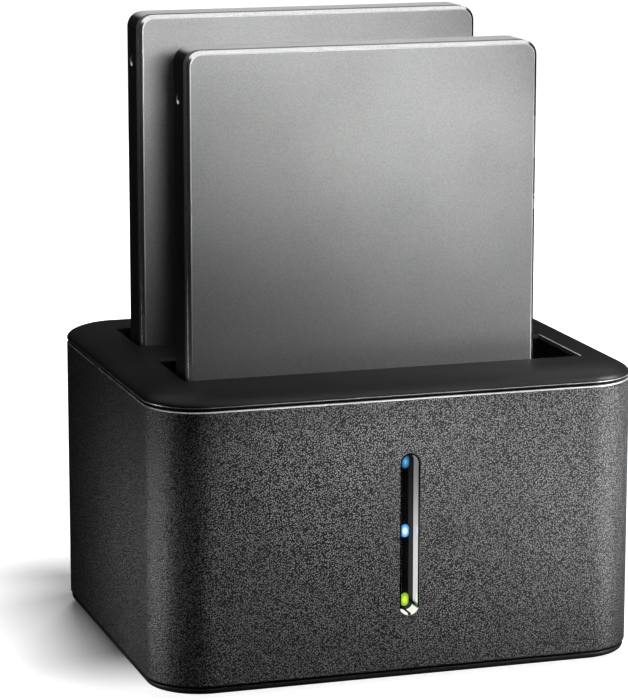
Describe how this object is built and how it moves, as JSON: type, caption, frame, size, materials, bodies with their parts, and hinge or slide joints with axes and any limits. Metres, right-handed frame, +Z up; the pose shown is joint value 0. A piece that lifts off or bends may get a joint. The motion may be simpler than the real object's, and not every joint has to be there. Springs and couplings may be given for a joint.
{
  "type": "hard drive docking station",
  "caption": "Desktop docking station with rounded dark casing, open slots in its top that hold standing 2.5-inch drives, a vertical light strip in front, and ports and buttons behind.",
  "frame": {"origin": "on the desk, under the middle of the dock", "axes": "+X to the right, +Y to the back, +Z up; the light strip is on the front, at -Y"},
  "size_m": [0.098, 0.082, 0.1248],
  "materials": {
    "casing": "spark-grained dark grey plastic",
    "bezel": "satin dark grey plastic",
    "button": "satin dark grey plastic",
    "inner_plastic": "matt black plastic",
    "foot_rubber": "matt black rubber",
    "screw_steel": "zinc-plated steel",
    "liner_chrome": "bright plated",
    "lens_black": "glossy black plastic",
    "blue_light": "lit blue window",
    "green_light": "lit green window",
    "circuit_board": "green solder mask",
    "emitter": "moulded light emitter",
    "connector_black": "moulded black plastic",
    "contact_gold": "gold-plated",
    "chip": "moulded black package",
    "coil": "pressed ferrite",
    "can_metal": "bright can",
    "port_metal": "bright sheet",
    "usb_blue": "blue moulded plastic",
    "plunger": "white moulded plastic",
    "drive_case": "dark anodised",
    "drive_cover": "fine-blasted face with polished chamfers"
  },
  "bodies": {
    "dock": {"base_tray": "casing", "main_shell": "casing", "top_bezel": "bezel", "inner_frame": "inner_plastic", "front_bay_well": "inner_plastic", "rear_bay_well": "inner_plastic", "rubber_feet": "foot_rubber", "base_screws": "screw_steel", "bezel_screws": "screw_steel", "board_screws": "screw_steel", "light_liner": "liner_chrome", "light_lens": "lens_black", "front_bay_light": "blue_light", "rear_bay_light": "blue_light", "power_light": "green_light", "main_board": "circuit_board", "light_board": "circuit_board", "light_emitters": "emitter", "front_socket": "connector_black", "rear_socket": "connector_black", "rear_socket_riser": "connector_black", "power_inlet": "connector_black", "power_switch": "connector_black", "clone_switch": "connector_black", "front_socket_contacts": "contact_gold", "rear_socket_contacts": "contact_gold", "bridge_chip": "chip", "power_regulators": "chip", "power_coils": "coil", "capacitors": "can_metal", "clock_crystal": "can_metal", "usb_socket": "port_metal", "power_inlet_pin": "port_metal", "usb_tongue": "usb_blue"},
    "front_drive": {"front_drive_case": "drive_case", "front_drive_cover": "drive_cover", "front_drive_board": "circuit_board", "front_drive_board_screws": "screw_steel", "front_drive_chips": "chip", "front_drive_plug": "connector_black", "front_drive_contacts": "contact_gold"},
    "rear_drive": {"rear_drive_case": "drive_case", "rear_drive_cover": "drive_cover", "rear_drive_board": "circuit_board", "rear_drive_board_screws": "screw_steel", "rear_drive_chips": "chip", "rear_drive_plug": "connector_black", "rear_drive_contacts": "contact_gold"},
    "power_button_body": {"power_button": "button", "power_plunger": "plunger"},
    "clone_button_body": {"clone_button": "button", "clone_plunger": "plunger"}
  },
  "joints": [
    {"name": "front_drive_lift", "type": "slide", "parent": "dock", "child": "front_drive", "axis": [0, 0, 1], "range_m": [0, 0.05]},
    {"name": "rear_drive_lift", "type": "slide", "parent": "dock", "child": "rear_drive", "axis": [0, 0, 1], "range_m": [0, 0.05]},
    {"name": "power_button_press", "type": "slide", "parent": "dock", "child": "power_button_body", "axis": [0, -1, 0], "range_m": [0, 0.0005], "stiffness_N_per_m": 3000, "springref_m": -0.0002},
    {"name": "clone_button_press", "type": "slide", "parent": "dock", "child": "clone_button_body", "axis": [0, -1, 0], "range_m": [0, 0.0005], "stiffness_N_per_m": 3000, "springref_m": -0.0002}
  ]
}
